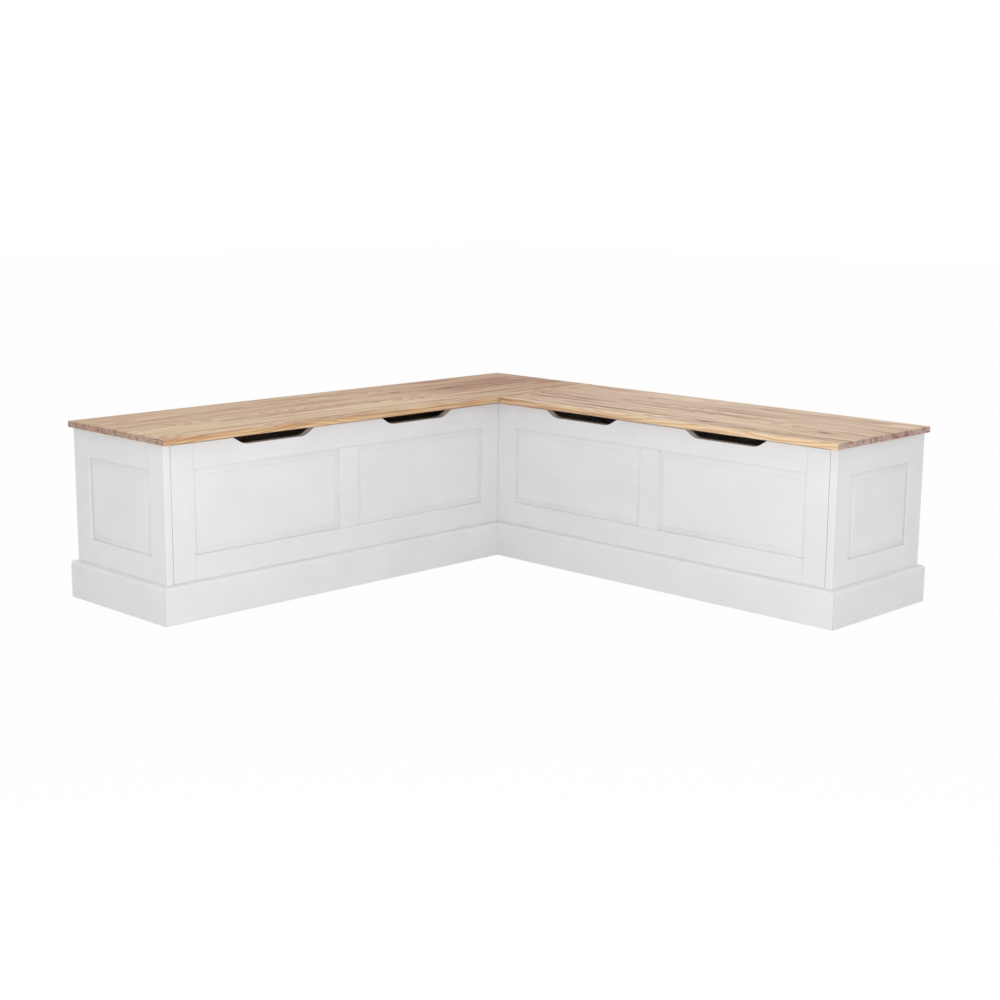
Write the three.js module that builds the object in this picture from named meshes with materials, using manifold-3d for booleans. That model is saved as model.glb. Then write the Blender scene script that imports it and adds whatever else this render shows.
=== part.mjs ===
// Corner storage bench: two panelled chests with hinged pine lids that meet in an L.
// Millimetres, +Z up. The origin is on the floor, at the centre of the outline seen from above.
// The long chest runs along X at the back and carries the corner; the short one runs along Y.

import * as THREE from "three";
import { mergeVertices } from "three/addons/utils/BufferGeometryUtils.js";
import Module from "manifold-3d";

const wasm = await Module();
wasm.setup();

// Overall sizes
const legLength = 1524;          // each leg of the L, along the back edge of the lids
const seatHeight = 450;
const lidDepth = 412;
const lidThickness = 16;
const lidEdgeRadius = 2.5;
const lidSeam = 3;               // gap between the two lids
const frontOverhang = 23;        // lid beyond the front frames
const endOverhang = 15;          // lid beyond the framed ends

// Clearances
const fitGap = 0.3;              // wherever two pieces touch
const overrun = 5;               // how far a cutting solid runs past what it cuts

// Frames: square-edged stiles, rails and muntins, grooved for their panels
const frameThickness = 20;
const stileWidth = 64;
const muntinWidth = 62;
const frontTopRailHeight = 63;
const endTopRailHeight = 69;
const bottomRailHeight = 94.5;
const bottomRailFoot = 60;       // underside of the bottom rails above the floor
const grooveSetback = 7;         // face of the frame to the groove
const grooveDepth = 8;
const arrisRadius = 0.6;         // eased corners, which leave a V where two frames meet
const endArrisRadius = 3;        // rounder front corner of the framed ends
const roundSteps = 4;            // flats in a quarter round
const frontPanelCount = 2;
const endPanelCount = 1;

// Panels: a field nearly flush with the frame, and a bevel down to a thin edge
const tongueThickness = 6;       // the thin edge, held in the groove
const fieldSink = 0.5;           // face of the field below the face of the frame
const fieldStep = 1.3;           // small step where the bevel leaves the field
const bevelWidth = 16.5;

// Hand slots cut in the top edge of the front top rails
const slotSpacing = 481;
const slotTopWidth = 254;
const slotSlope = 31;            // run of each sloping end
const slotDepth = 19;
const slotCornerRadius = 48;

// Plain boards
const boardThickness = 20;
const floorThickness = 10;
const floorHeight = 100;         // underside of the chest's floor
const floorTongue = 6;           // how far the floor enters the rails
const backRailHeight = 70;
const backSillHeight = 75;

// Plinth
const plinthHeight = 93;
const plinthThickness = 22;
const plinthRound = 8;

// Cleats under the lids
const cleatWidth = 45;
const cleatThickness = 18;
const cleatBevel = 10;
const cleatClearance = 15;       // to the frames in front of and behind it
const cleatInset = 75;           // end of the front frame to the cleat's middle

// Bumpers on the front top rails
const bumperLength = 30;
const bumperWidth = 12;
const bumperSetback = 3;         // from the face of the rail

// Butt hinges, one leaf on the back rail and one under the lid
const hingeLength = 76;
const leafWidth = 18;
const leafThickness = 2;
const leafSplit = 0.4;           // between the folded leaves
const knuckleRadius = 3;
const knuckleCount = 5;
const knuckleGap = 0.4;
const pinRadius = 1.5;
const pinClearance = 0.4;
const hingeInset = 130;          // lid's end to the hinge's middle
const longHingeCount = 3;
const shortHingeCount = 2;
const barrelSides = 16;

// Sizes that follow
const bodyDepth = lidDepth - frontOverhang;
const lidUnderside = seatHeight - lidThickness;
const lidGap = 2 * (leafThickness + fitGap) + leafSplit;
const railTop = lidUnderside - lidGap;
const endTop = lidUnderside - fitGap;
const bodyEnd = legLength - endOverhang - bodyDepth;
const lidEnd = bodyEnd + endOverhang;
const moduleWidth = bodyEnd - frameThickness;
const grooveWidth = tongueThickness + 2 * fitGap;
const grooveSeat = grooveDepth - fitGap;
const floorTop = floorHeight + floorThickness;
const hingeAxisDepth = bodyDepth + fitGap + knuckleRadius;
const hingeAxisHeight = railTop + lidGap / 2;
const outReach = Math.max(legLength, legLength - endOverhang + fitGap + plinthThickness);
const backReach = fitGap + 2 * knuckleRadius;
const centreShift = (outReach - backReach) / 2;

// Finishes
const paint = new THREE.MeshStandardMaterial({ color: "#e4e4e6", roughness: 0.5, metalness: 0 });
const pine = new THREE.MeshStandardMaterial({ color: "#cba983", roughness: 0.55, metalness: 0 });
const rawPine = new THREE.MeshStandardMaterial({ color: "#d8bd94", roughness: 0.7, metalness: 0 });
const zinc = new THREE.MeshStandardMaterial({ color: "#b9bcc0", roughness: 0.35, metalness: 1 });
const softPlastic = new THREE.MeshStandardMaterial({ color: "#f2f0ea", roughness: 0.6, metalness: 0 });

// Turns a closed three.js geometry into a solid that can be joined and cut.
function solidOf(geometry) {
  const bare = geometry.clone();
  bare.deleteAttribute("normal");
  bare.deleteAttribute("uv");
  const welded = mergeVertices(bare);
  return new wasm.Manifold(new wasm.Mesh({
    numProp: 3,
    vertProperties: new Float32Array(welded.attributes.position.array),
    triVerts: new Uint32Array(welded.index.array),
  }));
}

// Turns a solid back into a geometry, reflected in X for the long chest.
function geometryOf(solid, reflected) {
  const { vertProperties, triVerts } = solid.getMesh();
  const positions = Float32Array.from(vertProperties);
  const index = Array.from(triVerts);
  if (reflected) {
    for (let i = 0; i < positions.length; i += 3) {
      positions[i] = -positions[i];
    }
    index.reverse();
  }
  const geometry = new THREE.BufferGeometry();
  geometry.setAttribute("position", new THREE.BufferAttribute(positions, 3));
  geometry.setIndex(index);
  geometry.computeVertexNormals();
  return geometry;
}

function boxSolid([x0, x1], [y0, y1], [z0, z1]) {
  const box = new THREE.BoxGeometry(x1 - x0, y1 - y0, z1 - z0);
  box.translate((x0 + x1) / 2, (y0 + y1) / 2, (z0 + z1) / 2);
  return solidOf(box);
}

function shapeOf(points) {
  return new THREE.Shape(points.map(([x, y]) => new THREE.Vector2(x, y)));
}

// A section in X and Y, drawn up from z0 to z1.
function uprightPrism(shape, z0, z1) {
  const prism = new THREE.ExtrudeGeometry(shape, { depth: z1 - z0, bevelEnabled: false });
  prism.translate(0, 0, z0);
  return solidOf(prism);
}

// A section in height and depth, drawn along X from x0 to x1.
function levelPrism(shape, x0, x1) {
  const prism = new THREE.ExtrudeGeometry(shape, { depth: x1 - x0, bevelEnabled: false });
  prism.rotateY(-Math.PI / 2);
  prism.translate(x1, 0, 0);
  return solidOf(prism);
}

function barSolid(radius, x0, x1, y, z) {
  const bar = new THREE.CylinderGeometry(radius, radius, x1 - x0, barrelSides);
  bar.rotateZ(Math.PI / 2);
  bar.translate((x0 + x1) / 2, y, z);
  return solidOf(bar);
}

// Points of a quarter of an ellipse round a centre, from one angle to another in degrees.
function arcPoints(cx, cy, rx, ry, from, to) {
  const points = [];
  for (let i = 0; i <= roundSteps; i += 1) {
    const angle = THREE.MathUtils.degToRad(from + (to - from) * i / roundSteps);
    points.push([cx + rx * Math.cos(angle), cy + ry * Math.sin(angle)]);
  }
  return points;
}

// The outlines of a member's edges run from its face to its back, as inset and depth.
// A swell above zero grows the outline, for cutting the shoulder and tenon that fit against it.
function groovedEdge(setback, swell) {
  const arris = arcPoints(arrisRadius, arrisRadius, arrisRadius, arrisRadius, 270, 180);
  const corner = swell > 0 ? [[-swell, -swell]] : arris;
  const grooveFront = setback + swell;
  const grooveBack = setback + grooveWidth - swell;
  return [
    ...corner,
    [-swell, grooveFront],
    [grooveDepth - swell, grooveFront],
    [grooveDepth - swell, grooveBack],
    [-swell, grooveBack],
    [-swell, frameThickness + swell],
  ];
}

function plainEdge(radius) {
  return [
    ...arcPoints(radius, radius, radius, radius, 270, 180),
    ...arcPoints(radius, frameThickness - radius, radius, radius, 180, 90),
  ];
}

function memberSection(width, lowEdge, highEdge) {
  const high = highEdge.map(([inset, depth]) => [width - inset, depth]);
  return shapeOf([...high, ...lowEdge.toReversed()]);
}

// The top edge of a front top rail dips in a shallow tray shape with rounded lower corners.
function slotCutter(centre) {
  const shape = new THREE.Shape();
  const half = slotTopWidth / 2;
  const slant = Math.atan2(slotDepth, slotSlope);
  const setback = slotCornerRadius * Math.tan(slant / 2);
  const rise = setback * Math.sin(slant);
  const run = setback * Math.cos(slant);
  const floor = railTop - slotDepth;
  const cornerX = half - slotSlope;
  shape.moveTo(floor, centre - cornerX + setback);
  shape.lineTo(floor, centre + cornerX - setback);
  shape.quadraticCurveTo(floor, centre + cornerX, floor + rise, centre + cornerX + run);
  shape.lineTo(railTop, centre + half);
  shape.lineTo(railTop + overrun, centre + half);
  shape.lineTo(railTop + overrun, centre - half);
  shape.lineTo(railTop, centre - half);
  shape.lineTo(floor + rise, centre - cornerX - run);
  shape.quadraticCurveTo(floor, centre - cornerX, floor, centre - cornerX + setback);
  const cutter = new THREE.ExtrudeGeometry(shape, {
    depth: frameThickness + 2 * overrun,
    bevelEnabled: false,
    curveSegments: roundSteps,
  });
  cutter.applyMatrix4(new THREE.Matrix4().set(
    0, 1, 0, 0,
    0, 0, 1, -overrun,
    1, 0, 0, 0,
    0, 0, 0, 1,
  ));
  return solidOf(cutter);
}

// A raised panel for an opening: four bevels cut along the edges of a board, down to the
// thin edge that slides in the grooves.
function fieldedPanel([x0, x1], [z0, z1]) {
  const tongueFace = grooveSetback + fitGap;
  const field = fieldSink + fieldStep;
  const board = boxSolid(
    [x0 - grooveSeat, x1 + grooveSeat],
    [fieldSink, tongueFace + tongueThickness],
    [z0 - grooveSeat, z1 + grooveSeat],
  );
  const past = grooveSeat + overrun;
  const bevel = [
    [-past, fieldSink - overrun],
    [bevelWidth, fieldSink - overrun],
    [bevelWidth, field],
    [0, tongueFace],
    [-past, tongueFace],
  ];
  const near = shapeOf(bevel);
  const far = shapeOf(bevel.map(([inset, depth]) => [-inset, depth]));
  const cutters = [
    uprightPrism(near, z0 - past, z1 + past).translate([x0, 0, 0]),
    uprightPrism(far, z0 - past, z1 + past).translate([x1, 0, 0]),
    levelPrism(near, x0 - past, x1 + past).translate([0, 0, z0]),
    levelPrism(far, x0 - past, x1 + past).translate([0, 0, z1]),
  ];
  return cutters.reduce((left, cutter) => left.subtract(cutter), board);
}

// A frame of two stiles, two rails and muntins, with a panel in each opening. The rails' ends
// are cut to the stiles, and a muntin's to the rails, as square shoulders with stub tenons.
// It stands in X and Z with its face at y = 0, and gives its pieces by name.
function framedPanel({ from, to, lowName, highName, panelCount, top, topRailHeight, lowRadius }) {
  const topSight = top - topRailHeight;
  const lowSight = bottomRailFoot + bottomRailHeight;
  const openWidth = to - from - 2 * stileWidth - (panelCount - 1) * muntinWidth;
  const sightWidth = openWidth / panelCount;
  const pieces = {};

  const stiles = (swell) => {
    const edge = groovedEdge(grooveSetback, swell);
    const low = memberSection(stileWidth, plainEdge(lowRadius), edge);
    const high = memberSection(stileWidth, edge, plainEdge(arrisRadius));
    const reach = swell > 0 ? overrun : 0;
    return [
      uprightPrism(low, -reach, top + reach).translate([from, 0, 0]),
      uprightPrism(high, -reach, top + reach).translate([to - stileWidth, 0, 0]),
    ];
  };
  const rails = (swell) => {
    const edge = groovedEdge(grooveSetback, swell);
    const topRail = memberSection(topRailHeight, edge, plainEdge(arrisRadius));
    const bottomRail = memberSection(bottomRailHeight, plainEdge(arrisRadius), edge);
    const x0 = from + stileWidth - grooveSeat;
    const x1 = to - stileWidth + grooveSeat;
    return [
      levelPrism(topRail, x0, x1).translate([0, 0, topSight]),
      levelPrism(bottomRail, x0, x1).translate([0, 0, bottomRailFoot]),
    ];
  };

  const [lowStile, highStile] = stiles(0);
  pieces[`${lowName}_stile`] = lowStile;
  pieces[`${highName}_stile`] = highStile;
  const stileCutters = stiles(fitGap);
  const [topRail, bottomRail] = rails(0).map((rail) => (
    stileCutters.reduce((left, cutter) => left.subtract(cutter), rail)
  ));
  pieces.top_rail = topRail;
  pieces.bottom_rail = bottomRail;

  const railCutters = rails(fitGap);
  for (let i = 0; i < panelCount; i += 1) {
    const x0 = from + stileWidth + i * (sightWidth + muntinWidth);
    const x1 = x0 + sightWidth;
    const panelNames = panelCount === 1 ? ["panel"] : [`${lowName}_panel`, `${highName}_panel`];
    pieces[panelNames[i] ?? `panel_${i + 1}`] = fieldedPanel([x0, x1], [lowSight, topSight]);
    if (i < panelCount - 1) {
      const edge = groovedEdge(grooveSetback, 0);
      const section = memberSection(muntinWidth, edge, edge);
      const muntin = uprightPrism(section, lowSight - grooveSeat, topSight + grooveSeat);
      const name = panelCount === 2 ? "muntin" : `muntin_${i + 1}`;
      pieces[name] = railCutters.reduce(
        (left, cutter) => left.subtract(cutter),
        muntin.translate([x1, 0, 0]),
      );
    }
  }
  return pieces;
}

// The front frame adds hand slots over its panels and a housing for the floor.
function frontFrame() {
  const frame = framedPanel({
    from: fitGap,
    to: moduleWidth - fitGap,
    lowName: "inner",
    highName: "outer",
    panelCount: frontPanelCount,
    top: railTop,
    topRailHeight: frontTopRailHeight,
    lowRadius: arrisRadius,
  });
  for (const side of [-1, 1]) {
    frame.top_rail = frame.top_rail.subtract(slotCutter((moduleWidth + side * slotSpacing) / 2));
  }
  const housing = boxSolid(
    [-overrun, moduleWidth + overrun],
    [frameThickness - floorTongue, frameThickness + overrun],
    [floorHeight - fitGap, floorTop + fitGap],
  );
  frame.bottom_rail = frame.bottom_rail.subtract(housing);
  return frame;
}

// The framed end stands across the chest, its face turned outwards.
function endFrame() {
  const frame = framedPanel({
    from: 0,
    to: bodyDepth,
    lowName: "front",
    highName: "rear",
    panelCount: endPanelCount,
    top: endTop,
    topRailHeight: endTopRailHeight,
    lowRadius: endArrisRadius,
  });
  return Object.fromEntries(Object.entries(frame).map(([name, solid]) => [name, turnedToEnd(solid)]));
}

function turnedToEnd(solid) {
  return solid.rotate([0, 0, 90]).translate([bodyEnd, 0, 0]);
}

// Back of the chest: two grooved rails and a thin panel between them.
function backFrame(from, to) {
  const face = bodyDepth - frameThickness;
  const setback = (frameThickness - grooveWidth) / 2;
  const edge = groovedEdge(setback, 0);
  const x0 = from + fitGap;
  const x1 = to - fitGap;
  const topSection = memberSection(backRailHeight, edge, plainEdge(arrisRadius));
  const sillSection = memberSection(backSillHeight, plainEdge(arrisRadius), edge);
  const housing = boxSolid(
    [x0 - overrun, x1 + overrun],
    [face - overrun, face + floorTongue],
    [floorHeight - fitGap, floorTop + fitGap],
  );
  const railFoot = railTop - backRailHeight;
  const sillTop = bottomRailFoot + backSillHeight;
  const panelFace = face + setback + fitGap;
  return {
    back_top_rail: levelPrism(topSection, x0, x1).translate([0, face, railFoot]),
    back_bottom_rail: levelPrism(sillSection, x0, x1).translate([0, face, bottomRailFoot]).subtract(housing),
    back_panel: boxSolid(
      [x0, x1],
      [panelFace, panelFace + tongueThickness],
      [sillTop - grooveSeat, railFoot + grooveSeat],
    ),
  };
}

// The floor is tongued into the front and back rails and notched round the front stiles.
function floorBoard(from, to) {
  const x0 = from + fitGap;
  const x1 = to - fitGap;
  const front = frameThickness + fitGap;
  const tongueFront = front - floorTongue;
  const tongueBack = bodyDepth - frameThickness - fitGap + floorTongue;
  const stileSide = stileWidth + 2 * fitGap;
  const outline = [
    [x0, front],
    [stileSide, front],
    [stileSide, tongueFront],
    [moduleWidth - stileSide, tongueFront],
    [moduleWidth - stileSide, front],
    [x1, front],
    [x1, tongueBack],
    [x0, tongueBack],
  ];
  return uprightPrism(shapeOf(outline), floorHeight, floorTop);
}

// A block that fills everything past a line through the origin, turned by an angle in degrees.
function mitreBlock(angle, start) {
  const size = 4 * (plinthHeight + plinthThickness);
  const block = new THREE.BoxGeometry(size, size, size);
  block.translate(size / 2 + start, 0, 0);
  block.rotateZ(THREE.MathUtils.degToRad(angle));
  return solidOf(block);
}

function plinthBoard(x0, x1) {
  const back = -fitGap;
  const face = back - plinthThickness;
  const section = shapeOf([
    [0, face],
    ...arcPoints(plinthHeight - plinthRound, face + plinthRound, plinthRound, plinthRound, 270, 360),
    [plinthHeight, back],
    [0, back],
  ]);
  return levelPrism(section, x0, x1);
}

// The two plinth boards meet in a mitre at the outer corner.
function plinthBoards(innerEnd) {
  const tip = bodyEnd + fitGap + plinthThickness;
  const halfGap = fitGap / 2;
  const front = plinthBoard(innerEnd, tip).subtract(mitreBlock(45, -halfGap).translate([bodyEnd, 0, 0]));
  const end = plinthBoard(-fitGap - plinthThickness, bodyDepth).subtract(mitreBlock(135, -halfGap));
  return { plinth_front: front, plinth_end: turnedToEnd(end) };
}

function plainBoard(alongX, alongY, top) {
  return boxSolid(alongX, alongY, [0, top]);
}

function lidBoard(x0, x1) {
  const outline = shapeOf([[x0, -frontOverhang], [x1, -frontOverhang], [x1, bodyDepth], [x0, bodyDepth]]);
  const lid = new THREE.ExtrudeGeometry(outline, {
    depth: lidThickness - 2 * lidEdgeRadius,
    bevelThickness: lidEdgeRadius,
    bevelSize: lidEdgeRadius,
    bevelOffset: -lidEdgeRadius,
    bevelSegments: roundSteps,
  });
  lid.translate(0, 0, lidUnderside + lidEdgeRadius);
  return solidOf(lid);
}

// Places of equally spread pieces along a lid, each at least an inset from its ends.
function spread(count, x0, x1, inset) {
  const first = x0 + inset;
  const step = (x1 - x0 - 2 * inset) / (count - 1);
  return Array.from({ length: count }, (_, i) => first + i * step);
}

function cleat(centre) {
  const top = lidUnderside - fitGap;
  const bottom = top - cleatThickness;
  const front = frameThickness + cleatClearance;
  const back = bodyDepth - frameThickness - cleatClearance;
  const section = shapeOf([
    [top, front],
    [top, back],
    [top - cleatThickness / 2, back],
    [bottom, back - cleatBevel],
    [bottom, front + cleatBevel],
    [top - cleatThickness / 2, front],
  ]);
  return levelPrism(section, centre - cleatWidth / 2, centre + cleatWidth / 2);
}

// A flat stadium-shaped pad between a front rail and the lid.
function bumper(centre) {
  const radius = bumperWidth / 2;
  const middle = bumperSetback + radius;
  const half = bumperLength / 2 - radius;
  const shape = new THREE.Shape();
  shape.absarc(centre + half, middle, radius, -Math.PI / 2, Math.PI / 2);
  shape.absarc(centre - half, middle, radius, Math.PI / 2, Math.PI * 3 / 2);
  const pad = new THREE.ExtrudeGeometry(shape, {
    depth: lidGap - 2 * fitGap,
    bevelEnabled: false,
    curveSegments: 2 * roundSteps,
  });
  pad.translate(0, 0, railTop + fitGap);
  return solidOf(pad);
}

// One leaf of a butt hinge: a plate, a bridge to each of its knuckles, and the knuckles.
function hingeLeaf(centre, firstKnuckle, plateBottom) {
  const start = centre - hingeLength / 2;
  const pitch = (hingeLength + knuckleGap) / knuckleCount;
  const plateTop = plateBottom + leafThickness;
  const plateHeights = [plateBottom, plateTop];
  let leaf = boxSolid([start, start + hingeLength], [bodyDepth - leafWidth, bodyDepth], plateHeights);
  for (let i = firstKnuckle; i < knuckleCount; i += 2) {
    const x0 = start + i * pitch;
    const x1 = x0 + pitch - knuckleGap;
    const bridge = boxSolid([x0, x1], [bodyDepth - leafThickness, hingeAxisDepth], plateHeights);
    leaf = leaf.add(bridge).add(barSolid(knuckleRadius, x0, x1, hingeAxisDepth, hingeAxisHeight));
  }
  return leaf;
}

// The pin is staked in the fixed leaf's knuckles and runs free in the lid leaf's.
function hinge(centre) {
  const ends = [centre - hingeLength / 2, centre + hingeLength / 2];
  const pin = barSolid(pinRadius, ...ends, hingeAxisDepth, hingeAxisHeight);
  const [boreStart, boreEnd] = [ends[0] - overrun, ends[1] + overrun];
  const bore = barSolid(pinRadius + pinClearance, boreStart, boreEnd, hingeAxisDepth, hingeAxisHeight);
  return {
    fixed_leaf: hingeLeaf(centre, 0, railTop + fitGap).add(pin),
    lid_leaf: hingeLeaf(centre, 1, lidUnderside - fitGap - leafThickness).subtract(bore),
  };
}

// One chest in its own frame: X runs from the inner corner to the free end, Y from the front to
// the back. The long chest is the same thing reflected, carried on past the corner.
function chest({ name, reflected, innerEdge, lidStart, plinthStart, firstCleat, hingeCount, bumpers }) {
  const group = new THREE.Group();
  const addPiece = (pieceName, solid, material) => {
    const mesh = new THREE.Mesh(geometryOf(solid, reflected), material);
    mesh.name = `${name}_${pieceName}`;
    group.add(mesh);
  };
  const addAll = (pieces, prefix, material) => {
    for (const [pieceName, solid] of Object.entries(pieces)) {
      addPiece(prefix + pieceName, solid, material);
    }
  };
  addAll(frontFrame(), "front_", paint);
  addAll(endFrame(), "end_", paint);
  addAll(backFrame(innerEdge, moduleWidth), "", paint);
  addPiece("floor_board", floorBoard(innerEdge, moduleWidth), rawPine);
  addAll(plinthBoards(plinthStart), "", paint);
  addPiece("lid", lidBoard(lidStart, lidEnd), pine);
  [firstCleat, moduleWidth / 2, moduleWidth - cleatInset].forEach((centre, i) => {
    addPiece(`lid_cleat_${i + 1}`, cleat(centre), rawPine);
  });
  spread(hingeCount, lidStart, lidEnd, hingeInset).forEach((centre, i) => {
    addAll(hinge(centre), `hinge_${i + 1}_`, zinc);
  });
  bumpers.forEach((centre, i) => addPiece(`bumper_${i + 1}`, bumper(centre), softPlastic));
  return { group, addPiece };
}

function longChest() {
  const farFace = -bodyDepth;
  const farInside = farFace + boardThickness;
  const { group, addPiece } = chest({
    name: "long",
    reflected: true,
    innerEdge: farInside,
    lidStart: farFace,
    plinthStart: plinthThickness + 2 * fitGap,
    firstCleat: farFace / 2,
    hingeCount: longHingeCount,
    bumpers: [stileWidth, moduleWidth / 2],
  });
  addPiece("far_end_board", plainBoard([farFace, farInside], [0, bodyDepth], endTop), paint);
  const closing = plainBoard([farInside + fitGap, 0], [0, frameThickness], railTop);
  addPiece("closing_board", closing, paint);
  group.position.set(-bodyDepth, -bodyDepth, 0);
  return group;
}

function shortChest() {
  const { group, addPiece } = chest({
    name: "short",
    reflected: false,
    innerEdge: boardThickness + fitGap,
    lidStart: frontOverhang + lidSeam,
    plinthStart: fitGap,
    firstCleat: cleatInset,
    hingeCount: shortHingeCount,
    bumpers: [moduleWidth / 2],
  });
  const across = [frameThickness + fitGap, bodyDepth];
  addPiece("inner_end_board", plainBoard([fitGap, boardThickness + fitGap], across, endTop), paint);
  group.position.set(-bodyDepth, -bodyDepth, 0);
  group.rotation.z = -Math.PI / 2;
  return group;
}

const bench = new THREE.Group();
bench.add(longChest(), shortChest());
bench.position.set(centreShift, centreShift, 0);

export default bench;
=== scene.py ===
# %% [markdown]
# # A corner storage bench in painted and lacquered pine
# Two panelled chests meet in an L. Their carcasses are pine under white paint, and each has a clear
# lacquered pine lid on butt hinges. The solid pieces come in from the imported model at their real
# size and are never moved here. This lesson gives them soft edges and real finishes, adds the small
# fasteners, and sets up the light and the camera.

# %% Load the bench
import math

import bmesh
import bpy
from mathutils import Matrix, Vector


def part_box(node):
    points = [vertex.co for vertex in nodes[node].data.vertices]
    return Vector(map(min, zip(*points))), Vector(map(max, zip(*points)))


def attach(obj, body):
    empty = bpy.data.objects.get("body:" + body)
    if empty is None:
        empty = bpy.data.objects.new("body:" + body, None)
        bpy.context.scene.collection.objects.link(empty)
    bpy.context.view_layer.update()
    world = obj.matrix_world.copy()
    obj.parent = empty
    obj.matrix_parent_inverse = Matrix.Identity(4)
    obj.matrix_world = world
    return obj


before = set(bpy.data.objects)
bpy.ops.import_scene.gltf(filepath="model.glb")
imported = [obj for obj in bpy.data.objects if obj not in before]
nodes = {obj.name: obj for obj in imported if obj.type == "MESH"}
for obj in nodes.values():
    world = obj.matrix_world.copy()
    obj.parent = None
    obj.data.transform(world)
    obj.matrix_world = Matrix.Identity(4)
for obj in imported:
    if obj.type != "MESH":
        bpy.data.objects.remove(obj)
bpy.context.view_layer.update()

# %% [markdown]
# ## Units
# Blender works in metres, and a joiner thinks in millimetres. One factor turns one into the other,
# so that every size below can be read against a rule.

# %% Millimetres
MM = 0.001
print("A millimetre is", MM, "m")

# %% [markdown]
# ## The camera
# The photograph was taken from in front of the L, a little above seat height. The lens and the place
# were fitted to the bench's own corners, so the picture can be laid over the photograph. Blender's
# camera looks along its own minus Z with Y up, so its three axes are worked out from the heading, the
# tilt and the small roll, and put into a matrix. The target picture is a square of 1000 pixels, which
# turns the fitted focal length in pixels into millimetres on a full-frame sensor.

# %% Place the camera
PICTURE_WIDTH_PX = 1000
FOCAL_LENGTH_PX = 1693.4
SENSOR_WIDTH_MM = 36
CAMERA_PLACE_MM = (-2989.0, -2933.3, 1073.7)
HEADING = math.radians(44.448)
TILT_DOWN = math.radians(11.059)
ROLL = math.radians(0.447)


def camera_axes():
    """The camera's own right, up and backwards, as the columns of a matrix."""
    forward = Vector((
        math.cos(HEADING) * math.cos(TILT_DOWN),
        math.sin(HEADING) * math.cos(TILT_DOWN),
        -math.sin(TILT_DOWN),
    ))
    level_right = Vector((math.sin(HEADING), -math.cos(HEADING), 0))
    upright = level_right.cross(forward)
    right = math.cos(ROLL) * level_right + math.sin(ROLL) * upright
    up = math.cos(ROLL) * upright - math.sin(ROLL) * level_right
    return Matrix((right, up, -forward)).transposed()


def make_camera():
    lens = bpy.data.cameras.new("bench_camera")
    lens.sensor_width = SENSOR_WIDTH_MM
    lens.lens = FOCAL_LENGTH_PX * SENSOR_WIDTH_MM / PICTURE_WIDTH_PX
    camera = bpy.data.objects.new("bench_camera", lens)
    place = Matrix.Translation(Vector(CAMERA_PLACE_MM) * MM)
    camera.matrix_world = place @ camera_axes().to_4x4()
    bpy.context.scene.collection.objects.link(camera)
    bpy.context.scene.camera = camera
    return camera


camera = make_camera()
print("Camera at", camera.matrix_world.translation, "with a lens of", camera.data.lens, "mm")

# %% [markdown]
# ## Colours
# Colours are written as they would be picked from a picture, as sRGB hex values. Blender's shaders add
# up light, so they want linear values, and one function does that conversion for every colour here.

# %% Turn a picture's colours into light


def srgb(hex_colour):
    parts = [int(hex_colour[i:i + 2], 16) / 255 for i in (1, 3, 5)]
    linear = [c / 12.92 if c <= 0.04045 else ((c + 0.055) / 1.055) ** 2.4 for c in parts]
    return (*linear, 1)


print("Mid grey is", srgb("#808080")[0])

# %% [markdown]
# ## Nodes
# A material is a chain of nodes that ends at its output. One helper adds a node, with its settings and
# whatever feeds it: a plain value, an output of another node, or a whole node, which then gives the
# first output that it has in use. Each material below is a short list of such nodes, read from the
# coordinates to the surface.

# %% Add a node


def add_node(tree, kind, feeds=None, **settings):
    made = tree.nodes.new("ShaderNode" + kind)
    for name, value in settings.items():
        setattr(made, name, value)
    for socket, value in (feeds or {}).items():
        if isinstance(value, bpy.types.Node):
            value = next(output for output in value.outputs if output.enabled)
        if isinstance(value, bpy.types.NodeSocket):
            tree.links.new(value, made.inputs[socket])
        else:
            made.inputs[socket].default_value = value
    return made


def new_material(name):
    material = bpy.data.materials.new(name)
    material.use_nodes = True
    material.node_tree.nodes.clear()
    return material, material.node_tree


print("Ready to add nodes")

# %% [markdown]
# ## The grain's direction
# Every board's grain runs along its longest side: upright in a stile, level in a rail. Both the paint
# and the bare wood need to know it, so it is read off each piece's own box.

# %% Find the grain
AXES = "XYZ"


def grain_axis(node_name):
    low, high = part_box(node_name)
    sides = list(high - low)
    return AXES[sides.index(max(sides))]


for example in ("long_front_outer_stile", "long_front_top_rail"):
    print("The grain of", example, "runs along", grain_axis(example))

# %% [markdown]
# ## Patterns that follow the grain
# Much of what the eye reads as wood is noise that is squeezed across the grain and drawn out along it.
# The coordinates are divided by the pattern's real size each way, so one unit of noise is one wave. A
# random shift for each piece keeps two stiles from having the same pattern.

# %% Coordinates along the grain
PIECE_SHIFT_M = (3, 5, 7)        # the farthest that chance moves a piece's pattern along each axis


def stretched_coordinates(tree, axis, across_mm, along_mm):
    """Piece coordinates in which one unit is across_mm wide, and along_mm long on the grain's axis."""
    place = add_node(tree, "TexCoord").outputs["Object"]
    chance = add_node(tree, "ObjectInfo").outputs["Random"]
    shift = add_node(tree, "VectorMath", {0: chance, 1: PIECE_SHIFT_M}, operation="MULTIPLY")
    moved = add_node(tree, "VectorMath", {0: place, 1: shift}, operation="ADD")
    waves_per_metre = [1 / (along_mm * MM) if a == axis else 1 / (across_mm * MM) for a in AXES]
    return add_node(tree, "VectorMath", {0: moved, 1: waves_per_metre}, operation="MULTIPLY")


print("Each piece's pattern is shifted by up to", PIECE_SHIFT_M, "m")

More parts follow.
